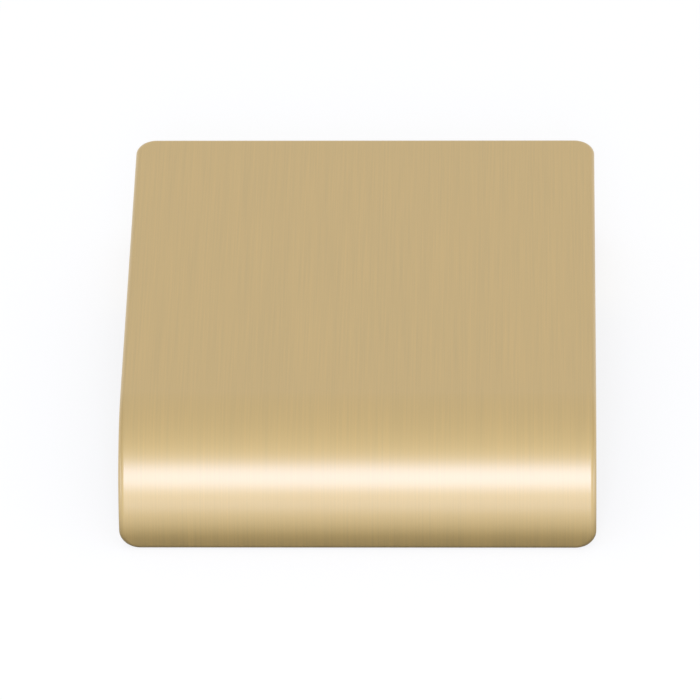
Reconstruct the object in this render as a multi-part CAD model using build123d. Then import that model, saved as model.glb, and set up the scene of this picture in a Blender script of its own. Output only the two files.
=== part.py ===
"""Tab knob for a drawer or cabinet door: a flat plate rolled over into a finger lip, on a tapped foot.

Millimetres. The origin is the centre of the screw hole's mouth, on the back face that seats on the drawer.
+Y points into the drawer, the knob projects along -Y, and +Z is up.
"""
from build123d import *
import os
from math import radians, tan

# Overall form
knob_width = 32.0
projection = 35.0
knob_height = 8.0
wall = 2.5
bend_radius = 7.0
corner_radius = 1.4
edge_radius = 0.4

# Foot under the back edge
foot_depth = 9.0
root_radius = 2.0

# Blind hole tapped for an M4 machine screw, at the thread's core size, in line with the fingers' pull
screw_below_top = 4.75
core_radius = 1.65
thread_radius = 2.0
thread_depth = 7.0
drill_point_angle = 118.0

# Faces that meet at less than this run smoothly into each other
smooth_angle = 10.0

top = screw_below_top
bottom = top - knob_height
front = -projection
underside = top - wall


def side_section():
    """Closed outline across the knob, on the YZ plane: foot, plate, rolled bend and lip in one wall."""
    outer_bend = (front, top)
    inner_bend = (front + wall, underside)
    root = (-foot_depth, underside)
    corner_radii = {
        outer_bend: bend_radius,
        inner_bend: bend_radius - wall,
        root: root_radius,
    }
    with BuildSketch(Plane.YZ) as section:
        with BuildLine():
            Polyline(
                (0, bottom),
                (0, top),
                outer_bend,
                (front, bottom),
                (front + wall, bottom),
                inner_bend,
                root,
                (-foot_depth, bottom),
                close=True,
            )
        make_face()
        for corner, radius in corner_radii.items():
            fillet(section.vertices().sort_by_distance(corner)[0], radius)
    return section.sketch


def corner_edges(body):
    """The two upright edges at the back and the two edges through the lip at its lower corners."""
    back_corners = body.edges().filter_by(Axis.Z).group_by(Axis.Y)[-1]
    lowest = body.edges().filter_by(Axis.Y).group_by(Axis.Z)[0]
    lip_corners = lowest.group_by(Axis.Y)[0]
    return back_corners + lip_corners


def sharp_edges(body):
    """Edges where two faces meet at an angle, without those where one runs smoothly into the next."""

    def is_sharp(edge):
        middle = edge @ 0.5
        first, second = [face.normal_at(middle) for face in body.faces() if edge in face.edges()]
        return first.get_angle(second) > smooth_angle

    return body.edges().filter_by(is_sharp)


def screw_hole():
    """Blind tapped hole running along -Y from the back face, with a chamfered mouth and a drill point."""
    lead_in = thread_radius - core_radius
    drill_point = core_radius / tan(radians(drill_point_angle / 2))
    with BuildPart() as hole:
        with BuildSketch(Plane.XY):
            with BuildLine():
                Polyline(
                    (0, 0),
                    (thread_radius, 0),
                    (core_radius, -lead_in),
                    (core_radius, -thread_depth),
                    (0, -thread_depth - drill_point),
                    close=True,
                )
            make_face()
        revolve(axis=Axis.Y)
    return hole.part


def knob_body():
    """The one-piece knob: the section carried across the width, corners rounded, edges eased, hole cut."""
    body = extrude(side_section(), amount=knob_width / 2, both=True)
    body = fillet(corner_edges(body), corner_radius)
    body = fillet(sharp_edges(body), edge_radius)
    return body - screw_hole()


os.makedirs("parts", exist_ok=True)
export_step(knob_body(), "parts/knob_body.step")
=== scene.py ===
from math import cos, pi, radians, sin, tan

import bpy
import numpy as np
from bpy.props import FloatProperty, FloatVectorProperty, PointerProperty
from mathutils import Matrix, Vector


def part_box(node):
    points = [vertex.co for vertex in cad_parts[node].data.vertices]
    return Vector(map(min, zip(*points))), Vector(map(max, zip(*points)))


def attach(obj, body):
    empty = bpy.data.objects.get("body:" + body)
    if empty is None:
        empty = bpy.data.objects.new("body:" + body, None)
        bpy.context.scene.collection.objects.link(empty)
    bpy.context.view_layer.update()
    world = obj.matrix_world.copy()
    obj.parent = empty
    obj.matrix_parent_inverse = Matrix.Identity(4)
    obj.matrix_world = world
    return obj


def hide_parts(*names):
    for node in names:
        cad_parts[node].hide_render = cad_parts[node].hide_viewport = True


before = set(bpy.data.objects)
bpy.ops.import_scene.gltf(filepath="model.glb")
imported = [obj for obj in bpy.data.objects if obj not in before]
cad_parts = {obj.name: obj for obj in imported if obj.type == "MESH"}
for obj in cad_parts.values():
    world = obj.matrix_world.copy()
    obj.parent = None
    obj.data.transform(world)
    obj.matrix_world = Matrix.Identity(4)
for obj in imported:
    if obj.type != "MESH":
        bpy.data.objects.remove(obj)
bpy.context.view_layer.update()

bl_info = {
    "name": "Satin brass tab knob",
    "version": (1, 0, 0),
    "blender": (4, 5, 0),
    "location": "View3D > Sidebar > Tab knob",
    "description": "Builds a tab knob with its thread, brushes it, and sets a white studio round it",
    "category": "Object",
}

low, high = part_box("knob_body")

# Steps along each face: the foot's underside, easing, front and root, the plate, the bend with the lip
ROW_STEPS = (8, 6, 6, 12, 20, 48)
# Shares of the foot's depth at which the outer face's rows stand over the ends of the first three
FOOT_STOPS = (0.66, 0.73, 0.89)

# Steps across the faces, round the corners, out to the rim and over the eased edges
COLUMNS_BESIDE_HOLE = 20
CORNER_STEPS = 12
BORDER_STEPS = 4
EDGE_STEPS = 8

# Steps in the back wall, in each turn of the thread and down the drill point
ROWS_ABOVE_HOLE = 2
ROWS_BELOW_HOLE = 1
HOLE_SIDE_STEPS = 24
SEAT_STEPS = 3
TURN_STEPS = 14
POINT_STEPS = 6

# Half the side of the square in the back wall that the hole's seat fills, against the thread's radius
SEAT_SHARE = 1.3
# The first corner of that square, seen from the hole's middle
SEAT_CORNER = radians(135)

# Flat stretches of the thread's profile, as shares of its pitch
ROOT_FLAT = 1 / 8
CREST_FLAT = 1 / 4

# Points within one cell of this size are one; the shift keeps round sizes off the cells' borders
WELD_STEP = 1e-7
WELD_SHIFT = 0.37

# The map that the brush lines follow, and the grain of the noise that draws the fine ones
BRUSH_MAP = "brush_lines"
NOISE_ROUGHNESS = 0.6
FINE_DETAIL = 2.0

# Broad lines: their width, length and strength against the fine ones
BROAD_DETAIL = 1.0
BROAD_PITCH = 6
BROAD_LENGTH = 4
BROAD_SHARE = 0.3

# Soft clouds: their size in metres, and their strength against the fine lines
CLOUD_DETAIL = 2.0
CLOUD_WIDTH = 0.008
CLOUD_LENGTH = 0.012
CLOUD_SHARE = 0.25

# How far the lines and the clouds change the roughness
LINE_ROUGHENING = 0.10
CLOUD_ROUGHENING = 0.06

# Sockets of a Mix node that hold its factor, its two colours and the colour between them
MIX_FACTOR = 0
MIX_FIRST = 6
MIX_SECOND = 7
MIX_RESULT = 2

# Shares of the floor's radius between which it fades into the white
FLOOR_FADE = (0.25, 0.98)
# Heights on a unit sphere between which the studio's sides dim, and how near this keeps to the sides
DIM_HEIGHTS = (0.15, 0.55)
DIM_POWER = 1.5

# The picture's size, and the point on the knob that the camera aims at: its place, pixel and scale
IMAGE_SIZE = 700
AIM_FROM_BACK = 0.017
AIM_BELOW_TOP = 0.003
AIM_PIXEL = (361.58, 323.90)
PIXELS_PER_METRE = 14600.2
NEAR_CLIP = 0.01
FAR_CLIP = 10.0


# Settings


def length_setting(name, description, default):
    """A length in metres."""
    return FloatProperty(
        name=name, description=description, default=default, min=0.0, precision=5, unit="LENGTH"
    )


def angle_setting(name, description, degrees):
    """An angle, given in degrees."""
    return FloatProperty(name=name, description=description, default=radians(degrees), subtype="ANGLE")


def share_setting(name, description, default):
    """A share, from nothing to full."""
    return FloatProperty(
        name=name, description=description, default=default, min=0.0, max=1.0, subtype="FACTOR"
    )


def level_setting(name, description, default):
    """The brightness of a lamp, where white is 1."""
    return FloatProperty(name=name, description=description, default=default, min=0.0)


def colour_setting(name, description, default):
    """A colour, as shares of red, green and blue light."""
    return FloatVectorProperty(
        name=name, description=description, default=default,
        size=3, min=0.0, soft_max=1.0, subtype="COLOR",
    )


class KnobShape(bpy.types.PropertyGroup):
    """Sizes of the knob's surface; its width, projection and height come from the frame."""

    wall: length_setting("Wall", "Thickness of the plate and the lip", 0.0025)
    bend_radius: length_setting("Bend radius", "Outer radius of the roll into the lip", 0.007)
    corner_radius: length_setting("Corner radius", "Rounding of the outline's four corners", 0.0014)
    edge_radius: length_setting("Edge radius", "Easing of every sharp edge", 0.0004)
    foot_depth: length_setting("Foot depth", "Depth of the foot under the back edge", 0.009)
    root_radius: length_setting("Root radius", "Fillet between the foot and the plate", 0.002)
    core_radius: length_setting("Core radius", "Radius at the crests of the thread", 0.00165)
    thread_radius: length_setting("Thread radius", "Radius at the roots of the thread", 0.002)
    thread_depth: length_setting("Thread depth", "Depth of the full hole", 0.007)
    thread_pitch: length_setting("Thread pitch", "Advance of the thread in one turn", 0.0007)
    drill_point_angle: angle_setting("Drill point", "Angle of the cone at the bottom of the hole", 118)


class BrassFinish(bpy.types.PropertyGroup):
    """The brushed and lacquered brass."""

    colour: colour_setting("Brass", "Colour of the brass under its lacquer", (0.587, 0.414, 0.132))
    roughness: share_setting("Roughness", "Roughness of the brushed metal", 0.66)
    line_pitch: length_setting("Line pitch", "Width of one fine brush line", 0.00012)
    line_length: length_setting("Line length", "Length of one fine brush line", 0.009)
    line_depth: length_setting("Line depth", "Depth of the brush lines", 0.000004)
    line_contrast: share_setting("Line contrast", "How much the lines change the colour", 0.11)
    lacquer_roughness: share_setting("Lacquer roughness", "Roughness of the clear lacquer", 0.345)
    lacquer_index: FloatProperty(
        name="Lacquer index", description="Refractive index of the clear lacquer",
        default=2.0, min=1.0, max=2.5,
    )


class StudioStage(bpy.types.PropertyGroup):
    """Floor, light and camera."""

    floor_colour: colour_setting("Floor", "Colour of the floor", (0.23, 0.23, 0.23))
    floor_radius: length_setting("Floor radius", "Radius at which the floor has faded out", 0.3)
    floor_glow: share_setting("Floor glow", "Brightness that lifts the floor to white in sight", 0.77)
    # Painted shade: how far round the knob's footprint the floor's glow in the metal's reflections is
    # dimmed
    painted_shade_reach: length_setting("Shade reach", "Reach of the knob's shade on the mirrored floor", 0.0072)
    side_level: share_setting("Side level", "Brightness of the studio's two sides high up", 0.45)
    lamp_colour: colour_setting("Lamp colour", "Cool daylight of all the lamps", (0.86, 1.0, 1.46))
    lamp_distance: length_setting("Lamp distance", "Distance of all the lamps from the lip", 0.65)
    softbox_elevation: angle_setting("Softbox elevation", "Front softbox above the horizon", 34)
    softbox_width: length_setting("Softbox width", "Width of the front softbox", 0.23)
    softbox_height: length_setting("Softbox height", "Height of the front softbox", 0.285)
    softbox_level: level_setting("Softbox level", "Brightness of the front softbox", 6.5)
    fill_elevation: angle_setting("Fill elevation", "Low fill card above the horizon", 2.6)
    fill_width: length_setting("Fill width", "Width of the low fill card", 0.28)
    fill_height: length_setting("Fill height", "Height of the low fill card", 0.085)
    fill_level: level_setting("Fill level", "Brightness of the low fill card", 3.0)
    card_bearing: angle_setting("Card bearing", "Angle of the two side cards from the front", 70)
    card_elevation: angle_setting("Card elevation", "Two side cards above the horizon", 8)
    card_width: length_setting("Card width", "Width of a side card", 0.36)
    card_height: length_setting("Card height", "Height of a side card", 0.22)
    card_level: level_setting("Card level", "Brightness of the side cards", 1.9)
    camera_elevation: angle_setting("Camera elevation", "Camera above the horizon", 38.80)
    camera_distance: length_setting("Camera distance", "From the camera to its aim on the knob", 0.53231)
    camera_offset: length_setting("Camera offset", "How far the camera stands to the right", 0.012493)


# Surfaces


def follow(start, heading, runs, distance):
    """Points and headings along a path of straight runs and arcs in the YZ plane.

    Each run has a length l and a turn t. At a distance d along it the heading has turned by t d / l, and
    the point lies at the end of a chord of d sin(a) / a, where a is half that turn, along the heading
    half way.
    """

    def chord(reach, turn, first):
        half = turn / 2
        size = reach * np.sinc(half / pi)
        return np.stack((size * np.cos(first + half), size * np.sin(first + half)), axis=-1)

    lengths, turns = np.array(runs).T
    ends = np.concatenate(([0.0], np.cumsum(lengths)))
    headings = heading + np.concatenate(([0.0], np.cumsum(turns)))
    steps = chord(lengths, turns, headings[:-1])
    corners = np.array(start) + np.concatenate((np.zeros((1, 2)), np.cumsum(steps, axis=0)))
    run = np.clip(np.searchsorted(ends, distance, side="right") - 1, 0, len(lengths) - 1)
    along = distance - ends[run]
    turn = turns[run] * along / lengths[run]
    return corners[run] + chord(along, turn, headings[run]), headings[run] + turn


class Skin:
    """One face of the bent plate: a flat sheet, x across and s along, laid on a path in the YZ plane."""

    def __init__(self, start, runs, outward):
        self.start = start
        self.runs = runs
        self.outward = outward
        self.reach = sum(run[0] for run in runs)

    def lay(self, x, s):
        """Surface points, outward normals and tangents along s: the point is (x, path(s))."""
        point, heading = follow(self.start, pi, self.runs, s)
        flat = np.zeros_like(heading)
        tangent = np.stack((flat, np.cos(heading), np.sin(heading)), axis=-1)
        normal = self.outward * np.stack((flat, np.sin(heading), -np.cos(heading)), axis=-1)
        return np.concatenate((x[..., None], point), axis=-1), normal, tangent


def spread(stations, counts):
    """Values that divide each gap between the stations into its own count of even steps."""
    marks = np.concatenate(([0], np.cumsum(counts)))
    return np.interp(np.arange(marks[-1] + 1), marks, stations)


def quads(rows, columns, closed):
    """Corner indices of a grid's faces, each going along the row first; a closed grid joins its ends."""
    index = np.arange(rows * columns).reshape(rows, columns)
    if closed:
        index = np.concatenate((index, index[:, :1]), axis=1)
    return np.stack((index[:-1, :-1], index[:-1, 1:], index[1:, 1:], index[1:, :-1]), axis=-1)


def patch(points, normals, uv, closed=False, flipped=False, keep=None):
    """A grid of points as a piece of surface: its points, normals, brush map and faces."""
    faces = quads(points.shape[0], points.shape[1], closed)
    faces = faces.reshape(-1, 4) if keep is None else faces[keep]
    if flipped:
        faces = faces[:, ::-1]
    return points.reshape(-1, 3), normals.reshape(-1, 3), uv.reshape(-1, 2), faces


def weld(patches):
    """Joins patches into one closed surface.

    Points in the same small cell become one vertex, and a face drops a corner that equals the next one.
    """
    point_sets, normal_sets, uv_sets, face_sets = zip(*patches)
    starts = np.cumsum([0] + [len(points) for points in point_sets[:-1]])
    points = np.concatenate(point_sets)
    normals = np.concatenate(normal_sets)
    uv = np.concatenate(uv_sets)
    faces = np.concatenate([part + start for part, start in zip(face_sets, starts)])
    cells = np.floor(points / WELD_STEP + WELD_SHIFT).astype(np.int64)
    _, first, vertex = np.unique(cells, axis=0, return_index=True, return_inverse=True)
    corner = vertex.reshape(-1)[faces]
    kept = corner != np.roll(corner, -1, axis=1)
    whole = kept.sum(axis=1) >= 3
    kept, corner, faces = kept[whole], corner[whole], faces[whole]
    totals = kept.sum(axis=1)
    return {
        "points": points[first],
        "corners": corner[kept],
        "starts": np.cumsum(totals) - totals,
        "normals": normals[faces[kept]],
        "uv": uv[faces[kept]],
    }


def knob_faces(shape):
    """The knob's outer and inner faces, each with the distances along it at which its rows stand.

    The outer face goes over the plate, round the bend and down the lip. The inner face goes under the
    foot, round its easing, up its front, round its root, along the plate, round the bend and down the
    lip. Both have as many rows, so that the wall between their edges is ruled from row to row.
    """
    top, bottom, front = high.z, low.z, low.y
    wall, bend, edge = shape.wall, shape.bend_radius, shape.edge_radius
    foot, root = shape.foot_depth, shape.root_radius
    right = pi / 2
    plate = -front - bend
    lip = top - bend - bottom - edge
    foot_front = top - wall - root - bottom - edge
    outer = Skin((-edge, top), [(plate - edge, 0), (bend * right, right), (lip, 0)], 1)
    inner = Skin((-edge, bottom), [
        (foot - 2 * edge, 0), (edge * right, -right), (foot_front, 0), (root * right, right),
        (plate - foot - root, 0), ((bend - wall) * right, right), (lip, 0),
    ], -1)
    margin = shape.corner_radius - edge
    over_foot = foot * np.array(FOOT_STOPS) - edge
    outer_rows = [margin, *over_foot, foot + root - edge, plate - edge, outer.reach - margin]
    run_ends = np.cumsum([run[0] for run in inner.runs])
    inner_rows = [margin, *run_ends[:-2], inner.reach - margin]
    return (outer, spread(outer_rows, ROW_STEPS)), (inner, spread(inner_rows, ROW_STEPS))


def face_middle(skin, x, s, flipped):
    """The straight-sided middle of a face, which has every x at every s."""
    x, s = np.broadcast_arrays(x, s[:, None])
    points, normals, _ = skin.lay(x, s)
    return patch(points, normals, np.stack((x, s), axis=-1), flipped=flipped)


def once_round(columns, stations, corner_steps):
    """One turn round a face's middle: column index, station index and outward bearing, from the back.

    The bearing is constant along each of the four sides and turns by a right angle at each corner.
    """
    side = np.arange(columns + 1)
    run = np.arange(stations + 1)
    bend = np.zeros(corner_steps - 1, int)
    turn = np.arange(1, corner_steps) / corner_steps
    column = np.concatenate((
        side, bend + columns, 0 * run + columns, bend + columns, side[::-1], bend, 0 * run, bend,
    ))
    station = np.concatenate((
        0 * side, bend, run, bend + stations, 0 * side + stations, bend + stations, run[::-1], bend,
    ))
    quarter = np.concatenate((
        0 * side, turn, 0 * run + 1, 1 + turn, 0 * side + 2, 2 + turn, 0 * run + 3, 3 + turn,
    ))
    return column, station, quarter * pi / 2


def rolled_edge(skin, x, s, bearing, shape):
    """Rows of points from a face's straight-sided middle out to its rim, then over the eased edge.

    The first rows go out by the corner radius less the edge radius. From there the surface is that of a
    ball of the edge radius e: centre + e (cos f normal + sin f outward), with f from 0 to a right angle.
    """
    corner, edge = shape.corner_radius, shape.edge_radius
    out_x, out_s = np.sin(bearing), -np.cos(bearing)
    step = np.linspace(0, corner - edge, BORDER_STEPS + 1)[:, None]
    points, normals, tangents = skin.lay(x + step * out_x, s + step * out_s)
    normal, tangent = normals[-1], tangents[-1]
    outward = out_s[:, None] * tangent
    outward[:, 0] = out_x
    f = (np.arange(1, EDGE_STEPS + 1) / EDGE_STEPS * pi / 2)[:, None, None]
    turned = np.cos(f) * normal + np.sin(f) * outward
    over = points[-1] - edge * normal + edge * turned
    distance = np.concatenate((step[:, 0], corner - edge + edge * f[:, 0, 0]))[:, None]
    uv = np.stack((x + distance * out_x, s + distance * out_s), axis=-1)
    return np.concatenate((points, over)), np.concatenate((normals, turned)), uv, outward


def rings(angle, radius, depth):
    """Points round the hole's axis, at an angle a, a radius r and a depth d: (r cos a, -d, r sin a)."""
    angle, radius, depth = np.broadcast_arrays(angle, radius, depth)
    return np.stack((radius * np.cos(angle), -depth, radius * np.sin(angle)), axis=-1)


def screw_hole(angle, shape):
    """The tapped hole, as rings of points at these angles going in from its mouth, and its drill point.

    At a depth d and an angle a the radius is the core's plus the thread's tooth at d / pitch - a / 2 pi
    turns, or the mouth's 45 degree cone where that is wider. The tooth is a trapezium, flat at its root
    and its crest with straight flanks between, and it fades out in the last turn.
    """
    ring_count = round(shape.thread_depth / shape.thread_pitch * TURN_STEPS) + 1
    depth = np.linspace(0, shape.thread_depth, ring_count)[:, None]
    turns = (depth / shape.thread_pitch - angle / (2 * pi)) % 1
    sloped = 1 - CREST_FLAT - ROOT_FLAT
    tooth = np.clip((1 - CREST_FLAT - np.abs(2 * turns - 1)) / sloped, 0, 1)
    fade = np.clip((shape.thread_depth - depth) / shape.thread_pitch, 0, 1)
    tooth_height = shape.thread_radius - shape.core_radius
    radius = np.maximum(shape.core_radius + tooth_height * tooth * fade, shape.thread_radius - depth)
    thread = rings(angle, radius, depth)
    around = np.roll(thread, -1, axis=1) - np.roll(thread, 1, axis=1)
    normals = np.cross(around, np.gradient(thread, axis=0))
    normals /= np.linalg.norm(normals, axis=-1, keepdims=True)

    half = shape.drill_point_angle / 2
    inward = np.linspace(0, 1, POINT_STEPS + 1)[:, None]
    cone_depth = shape.thread_depth + shape.core_radius * inward / tan(half)
    cone = rings(angle, shape.core_radius * (1 - inward), cone_depth)
    cone_normals = 0 * cone + rings(angle, -cos(half), -sin(half))

    def hole_map(down):
        """Brush map of the hole: the way round its core, and the depth."""
        return np.stack(np.broadcast_arrays(shape.core_radius * angle, down), axis=-1)

    return (
        patch(thread, normals, hole_map(depth), closed=True),
        patch(cone, cone_normals, hole_map(cone_depth), closed=True),
    )


def rim_map(points, out_x, out_s):
    """Brush map of the rim: straight lines along y on the sides, and upright ones across the back."""
    drop = high.z - points[..., 2]
    return np.stack((points[..., 0] + out_x * drop, out_s * drop - points[..., 1]), axis=-1)


def tapped_rim(outer_edge, inner_edge, outward, bearing, shape):
    """The wall between the edges of the two faces, and the seat and the hole in its back.

    At a share v of its height a point of the wall is (1 - v) outer + v inner. The wall leaves a square
    open round the hole. The seat fills it: at a share b its points are (1 - b) square + b mouth.
    """
    top, bottom = outer_edge[0, 2], inner_edge[0, 2]
    reach = SEAT_SHARE * shape.thread_radius
    heights = [0, (top - reach) / (top - bottom), (top + reach) / (top - bottom), 1]
    v = spread(heights, [ROWS_ABOVE_HOLE, HOLE_SIDE_STEPS, ROWS_BELOW_HOLE])[:, None, None]
    wall = (1 - v) * outer_edge + v * inner_edge
    wall_map = rim_map(wall, np.sin(bearing), -np.cos(bearing))

    first_row, first_column = ROWS_ABOVE_HOLE, COLUMNS_BESIDE_HOLE
    last_row, last_column = first_row + HOLE_SIDE_STEPS, first_column + HOLE_SIDE_STEPS
    keep = np.ones((len(wall) - 1, len(bearing)), bool)
    keep[first_row:last_row, first_column:last_column] = False
    square = np.concatenate((
        wall[first_row, first_column:last_column], wall[first_row:last_row, last_column],
        wall[last_row, last_column:first_column:-1], wall[last_row:first_row:-1, first_column],
    ))

    angle = SEAT_CORNER - 2 * pi * np.arange(len(square)) / len(square)
    b = np.linspace(0, 1, SEAT_STEPS + 1)[:, None, None]
    seat = (1 - b) * square + b * rings(angle, shape.thread_radius, 0.0)
    seat_normals = 0 * seat + np.array((0.0, 1.0, 0.0))
    return [
        patch(wall, 0 * wall + outward, wall_map, closed=True, keep=keep),
        patch(seat, seat_normals, rim_map(seat, 0, -1), closed=True),
        *screw_hole(angle, shape),
    ]


def knob_surface(shape):
    """The whole knob: its outer and inner faces, the wall that joins them, and the hole in its back.

    Both faces are the same kind of sheet, a rectangle with rounded corners laid on a path.
    """
    (outer, outer_s), (inner, inner_s) = knob_faces(shape)
    reach = SEAT_SHARE * shape.thread_radius
    half_middle = high.x - shape.corner_radius
    x = spread(
        [-half_middle, -reach, reach, half_middle],
        [COLUMNS_BESIDE_HOLE, HOLE_SIDE_STEPS, COLUMNS_BESIDE_HOLE],
    )
    column, station, bearing = once_round(len(x) - 1, len(outer_s) - 1, CORNER_STEPS)
    outer_edge, outer_normals, outer_map, outward = rolled_edge(
        outer, x[column], outer_s[station], bearing, shape
    )
    inner_edge, inner_normals, inner_map, _ = rolled_edge(
        inner, x[column], inner_s[station], bearing, shape
    )
    wall, *hole = tapped_rim(outer_edge[-1], inner_edge[-1], outward, bearing, shape)
    return weld([
        face_middle(outer, x, outer_s, flipped=True),
        face_middle(inner, x, inner_s, flipped=False),
        patch(outer_edge, outer_normals, outer_map, closed=True),
        wall,
        patch(inner_edge[::-1], inner_normals[::-1], inner_map[::-1], closed=True),
        *hole,
    ])


def mesh_object(name, surface):
    """Puts a welded surface into a mesh object, with its own normals and brush map."""
    mesh = bpy.data.meshes.new(name)
    mesh.vertices.add(len(surface["points"]))
    mesh.vertices.foreach_set("co", surface["points"].astype(np.float32).ravel())
    mesh.loops.add(len(surface["corners"]))
    mesh.loops.foreach_set("vertex_index", surface["corners"].astype(np.int32))
    mesh.polygons.add(len(surface["starts"]))
    mesh.polygons.foreach_set("loop_start", surface["starts"].astype(np.int32))
    mesh.update(calc_edges=True)
    mesh.shade_smooth()
    brush_map = mesh.uv_layers.new(name=BRUSH_MAP)
    brush_map.data.foreach_set("uv", surface["uv"].astype(np.float32).ravel())
    mesh.normals_split_custom_set(surface["normals"])
    if mesh.validate():
        raise RuntimeError(f"the surface of {name} has faulty faces")
    made = bpy.data.objects.new(name, mesh)
    bpy.context.scene.collection.objects.link(made)
    return made


# Materials and the studio's white


class Wire:
    """An output socket. Arithmetic with wires and numbers adds the Math nodes that work it out."""

    def __init__(self, node, output=0):
        self.tree = node.id_data
        self.node = node
        self.socket = node.outputs[output] if node.outputs else None

    @classmethod
    def make(cls, tree, kind, settings=None, sockets=None, output=0):
        """Adds a node of this kind, sets its settings, then gives its sockets their values or links."""
        node = tree.nodes.new(kind)
        for name, value in (settings or {}).items():
            setattr(node, name, value)
        for name, value in (sockets or {}).items():
            if isinstance(value, Wire):
                tree.links.new(value.socket, node.inputs[name])
            else:
                node.inputs[name].default_value = value
        return cls(node, output)

    def math(self, operation, first, second=0.0):
        """A Math node on two wires or numbers."""
        return Wire.make(self.tree, "ShaderNodeMath", {"operation": operation}, {0: first, 1: second})

    def __add__(self, other):
        return self.math("ADD", self, other)

    def __sub__(self, other):
        return self.math("SUBTRACT", self, other)

    def __rsub__(self, other):
        return self.math("SUBTRACT", other, self)

    def __mul__(self, other):
        return self.math("MULTIPLY", self, other)

    def __pow__(self, other):
        return self.math("POWER", self, other)

    def __abs__(self):
        return self.math("ABSOLUTE", self)

    __radd__ = __add__
    __rmul__ = __mul__


def vector_math(operation, *values, output="Vector"):
    """A Vector Math node on a wire and, where it takes two, a second wire or vector."""
    sockets = dict(enumerate(values))
    return Wire.make(values[0].tree, "ShaderNodeVectorMath", {"operation": operation}, sockets, output)


def smooth_rise(value, start, end, curve="SMOOTHSTEP"):
    """From 0 to 1, levelling off at both ends, as the value goes from start to end."""
    return Wire.make(
        value.tree, "ShaderNodeMapRange", {"interpolation_type": curve},
        {"Value": value, "From Min": start, "From Max": end},
    )


def empty_tree(owner):
    """The node tree of a material or a world, with its nodes cleared."""
    owner.use_nodes = True
    owner.node_tree.nodes.clear()
    return owner.node_tree


def brush_noise(tree, pitch, reach, detail):
    """Noise about zero, drawn out along the brush map: one pitch across the lines, one reach along."""
    uv = Wire.make(tree, "ShaderNodeUVMap", {"uv_map": BRUSH_MAP})
    scaled = Wire.make(
        tree, "ShaderNodeMapping", sockets={"Vector": uv, "Scale": (1 / pitch, 1 / reach, 1)}
    )
    noise = Wire.make(
        tree, "ShaderNodeTexNoise", {"noise_dimensions": "2D"},
        {"Vector": scaled, "Scale": 1.0, "Detail": detail, "Roughness": NOISE_ROUGHNESS},
    )
    return noise - 0.5


def satin_brass(finish):
    """Brass brushed from back to front under a clear satin lacquer."""
    material = bpy.data.materials.new("satin_brass_brushed")
    tree = empty_tree(material)
    pitch, reach = finish.line_pitch, finish.line_length
    fine = brush_noise(tree, pitch, reach, FINE_DETAIL)
    broad = brush_noise(tree, BROAD_PITCH * pitch, BROAD_LENGTH * reach, BROAD_DETAIL)
    cloud = brush_noise(tree, CLOUD_WIDTH, CLOUD_LENGTH, CLOUD_DETAIL)
    lines = fine + BROAD_SHARE * broad
    colour = Vector(finish.colour)
    shade = Wire.make(
        tree, "ShaderNodeMix", {"data_type": "RGBA"},
        {
            MIX_FACTOR: 0.5 + lines + CLOUD_SHARE * cloud,
            MIX_FIRST: (*(colour * (1 - finish.line_contrast)), 1),
            MIX_SECOND: (*(colour * (1 + finish.line_contrast)), 1),
        },
        output=MIX_RESULT,
    )
    bump = Wire.make(
        tree, "ShaderNodeBump",
        sockets={"Strength": 1.0, "Distance": finish.line_depth, "Height": lines},
    )
    metal = Wire.make(
        tree, "ShaderNodeBsdfPrincipled",
        sockets={
            "Base Color": shade,
            "Metallic": 1.0,
            "Roughness": finish.roughness + LINE_ROUGHENING * lines + CLOUD_ROUGHENING * cloud,
            "Normal": bump,
            "Coat Weight": 1.0,
            "Coat Roughness": finish.lacquer_roughness,
            "Coat IOR": finish.lacquer_index,
        },
    )
    Wire.make(tree, "ShaderNodeOutputMaterial", sockets={"Surface": metal})
    return material


def beside_knob(place):
    """Distance on the floor from the knob's footprint: the length of max(|place - middle| - half, 0)."""
    middle = Vector((0, low.y / 2, low.z))
    half = Vector((high.x, -low.y / 2, 0))
    offset = vector_math("ABSOLUTE", vector_math("SUBTRACT", place, middle))
    outside = vector_math("MAXIMUM", vector_math("SUBTRACT", offset, half), Vector())
    return vector_math("LENGTH", outside, output="Value")


def pale_floor(stage):
    """A matt floor that fades, with distance from the knob, into the white of the studio.

    A glow lifts it to white where the camera sees it. The metal mirrors that glow as well, but less of
    it close to the knob, where a shade is painted into the mirrored glow round the knob's footprint.
    """
    material = bpy.data.materials.new("pale_floor")
    tree = empty_tree(material)
    place = Wire.make(tree, "ShaderNodeTexCoord", output="Object")
    away = vector_math("LENGTH", place, output="Value")
    fade = smooth_rise(away, *(share * stage.floor_radius for share in FLOOR_FADE))
    # Painted shade: near the knob's footprint the glow the metal mirrors is dimmed, a shadow painted on
    # the floor
    clear_of_painted_shade = smooth_rise(beside_knob(place), 0.0, stage.painted_shade_reach, "SMOOTHERSTEP")
    seen = Wire.make(tree, "ShaderNodeLightPath", output="Is Camera Ray")
    mirrored = Wire(seen.node, "Is Glossy Ray") + Wire(seen.node, "Is Transmission Ray")
    glow = stage.floor_glow * (seen + clear_of_painted_shade * mirrored)
    matt = Wire.make(tree, "ShaderNodeBsdfDiffuse", sockets={"Color": (*stage.floor_colour, 1)})
    white = Wire.make(tree, "ShaderNodeEmission", sockets={"Color": glow, "Strength": 1.0})
    lit = Wire.make(tree, "ShaderNodeAddShader", sockets={0: matt, 1: white})
    clear = Wire.make(tree, "ShaderNodeBsdfTransparent")
    mixed = Wire.make(tree, "ShaderNodeMixShader", sockets={0: fade, 1: lit, 2: clear})
    Wire.make(tree, "ShaderNodeOutputMaterial", sockets={"Surface": mixed})
    return material


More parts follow.
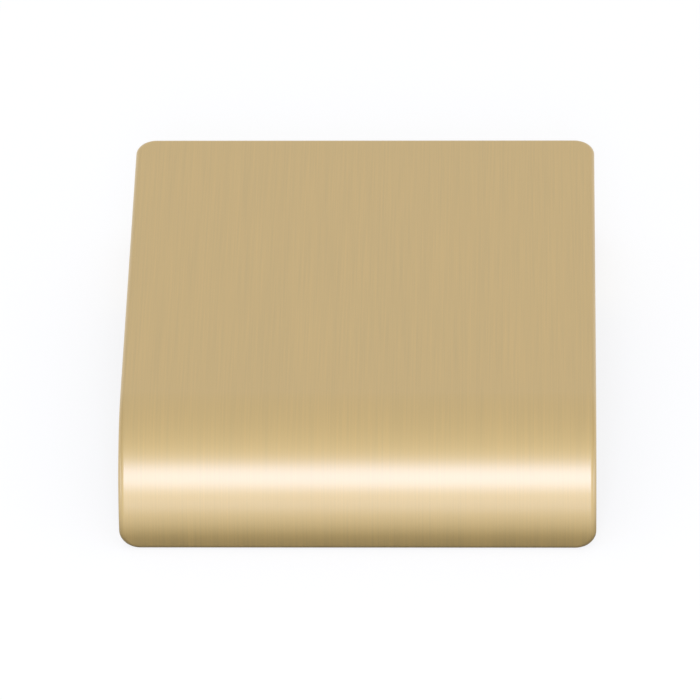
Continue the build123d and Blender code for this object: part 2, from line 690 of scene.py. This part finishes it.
def white_studio(stage):
    """White all round, low down and overhead, with the two sides dimmed high up.

    The brightness is 1 - (1 - side level) rise |x| ^ power, where rise goes from 0 to 1 with height.
    """
    world = bpy.data.worlds.new("white_studio")
    tree = empty_tree(world)
    look = Wire.make(tree, "ShaderNodeTexCoord", output="Generated")
    across = Wire.make(tree, "ShaderNodeSeparateXYZ", sockets={0: look}, output="X")
    rise = smooth_rise(Wire(across.node, "Z"), *DIM_HEIGHTS)
    level = 1 - (1 - stage.side_level) * rise * abs(across) ** DIM_POWER
    light = Wire.make(tree, "ShaderNodeBackground", sockets={"Color": level, "Strength": 1.0})
    Wire.make(tree, "ShaderNodeOutputWorld", sockets={"Surface": light})
    bpy.context.scene.world = world


# Stage


def studio_floor(stage):
    """A square of floor under the knob, at the height of its lowest point."""
    corners = stage.floor_radius * np.array(((-1, -1), (1, -1), (1, 1), (-1, 1)))
    mesh = bpy.data.meshes.new("floor")
    mesh.from_pydata(np.column_stack((corners, np.full(len(corners), low.z))), [], [(0, 1, 2, 3)])
    mesh.materials.append(pale_floor(stage))
    floor = bpy.data.objects.new("floor", mesh)
    bpy.context.scene.collection.objects.link(floor)


def aimed(position, forward, right):
    """The matrix of a lamp or camera at a position, looking forward, with its width along right."""
    forward = forward.normalized()
    right = (right - right.dot(forward) * forward).normalized()
    turn = Matrix((right, right.cross(forward), -forward)).transposed()
    return Matrix.Translation(position) @ turn.to_4x4()


def soft_lamp(name, stage, bearing, elevation, width, height, level):
    """A rectangular lamp of even brightness, aimed at the lip and hidden from the camera.

    Its power is pi times its area times its brightness.
    """
    back = Vector((sin(bearing) * cos(elevation), -cos(bearing) * cos(elevation), sin(elevation)))
    lip = Vector((0, low.y, (low.z + high.z) / 2))
    lamp = bpy.data.lights.new(name, "AREA")
    lamp.shape = "RECTANGLE"
    lamp.size, lamp.size_y = width, height
    lamp.energy = pi * width * height * level
    lamp.color = stage.lamp_colour
    made = bpy.data.objects.new(name, lamp)
    bpy.context.scene.collection.objects.link(made)
    across = Vector((cos(bearing), sin(bearing), 0))
    made.matrix_world = aimed(lip + stage.lamp_distance * back, -back, across)
    made.visible_camera = False


def studio_lamps(stage):
    """A front softbox for the bright line on the bend, a low fill under it, and a card on each side."""
    soft_lamp(
        "front_softbox", stage, 0, stage.softbox_elevation,
        stage.softbox_width, stage.softbox_height, stage.softbox_level,
    )
    soft_lamp(
        "low_fill", stage, 0, stage.fill_elevation,
        stage.fill_width, stage.fill_height, stage.fill_level,
    )
    for name, bearing in (("left_card", -stage.card_bearing), ("right_card", stage.card_bearing)):
        soft_lamp(
            name, stage, bearing, stage.card_elevation,
            stage.card_width, stage.card_height, stage.card_level,
        )


def long_lens_camera(stage):
    """A long lens from above the front, turned so that its aim falls on its pixel of the picture."""
    aim = Vector((0, -AIM_FROM_BACK, high.z - AIM_BELOW_TOP))
    elevation, distance = stage.camera_elevation, stage.camera_distance
    position = aim + Vector((stage.camera_offset, -distance * cos(elevation), distance * sin(elevation)))
    at_aim = aimed(position, aim - position, Vector((1, 0, 0))).to_3x3()
    focal = PIXELS_PER_METRE * distance
    middle = IMAGE_SIZE / 2
    aim_x, aim_y = AIM_PIXEL
    forward = at_aim @ Vector((middle - aim_x, aim_y - middle, -focal))
    lens = bpy.data.cameras.new("photo_camera")
    lens.lens = focal * lens.sensor_width / IMAGE_SIZE
    lens.clip_start, lens.clip_end = NEAR_CLIP, FAR_CLIP
    camera = bpy.data.objects.new("photo_camera", lens)
    bpy.context.scene.collection.objects.link(camera)
    camera.matrix_world = aimed(position, forward, at_aim.col[0])
    bpy.context.scene.camera = camera


# Operators and panel


class TABKNOB_OT_body(bpy.types.Operator):
    """Build the knob's fine surface with its thread and give it the brushed brass"""

    bl_idname = "tabknob.body"
    bl_label = "Build knob"

    def execute(self, context):
        scene = context.scene
        knob = mesh_object("knob_surface", knob_surface(scene.knob_shape))
        knob.data.materials.append(satin_brass(scene.brass_finish))
        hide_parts("knob_body")
        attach(knob, "root")
        return {"FINISHED"}


class TABKNOB_OT_stage(bpy.types.Operator):
    """Set the floor, the light and the camera"""

    bl_idname = "tabknob.stage"
    bl_label = "Set stage"

    def execute(self, context):
        stage = context.scene.studio_stage
        studio_floor(stage)
        white_studio(stage)
        studio_lamps(stage)
        long_lens_camera(stage)
        context.scene.view_settings.view_transform = "Standard"
        return {"FINISHED"}


class TABKNOB_PT_sidebar(bpy.types.Panel):
    """The knob's sizes, finish and stage"""

    bl_label = "Tab knob"
    bl_space_type = "VIEW_3D"
    bl_region_type = "UI"
    bl_category = "Tab knob"

    def draw(self, context):
        for group, operator in (
            ("knob_shape", None),
            ("brass_finish", TABKNOB_OT_body.bl_idname),
            ("studio_stage", TABKNOB_OT_stage.bl_idname),
        ):
            box = self.layout.box()
            settings = getattr(context.scene, group)
            for name in settings.bl_rna.properties.keys():
                if name not in ("rna_type", "name"):
                    box.prop(settings, name)
            if operator:
                box.operator(operator)


CLASSES = (KnobShape, BrassFinish, StudioStage, TABKNOB_OT_body, TABKNOB_OT_stage, TABKNOB_PT_sidebar)


def register():
    for cls in CLASSES:
        bpy.utils.register_class(cls)
    bpy.types.Scene.knob_shape = PointerProperty(type=KnobShape)
    bpy.types.Scene.brass_finish = PointerProperty(type=BrassFinish)
    bpy.types.Scene.studio_stage = PointerProperty(type=StudioStage)


def unregister():
    del bpy.types.Scene.studio_stage
    del bpy.types.Scene.brass_finish
    del bpy.types.Scene.knob_shape
    for cls in reversed(CLASSES):
        bpy.utils.unregister_class(cls)


def main():
    register()
    bpy.ops.tabknob.body()
    bpy.ops.tabknob.stage()


if __name__ == "__main__":
    main()
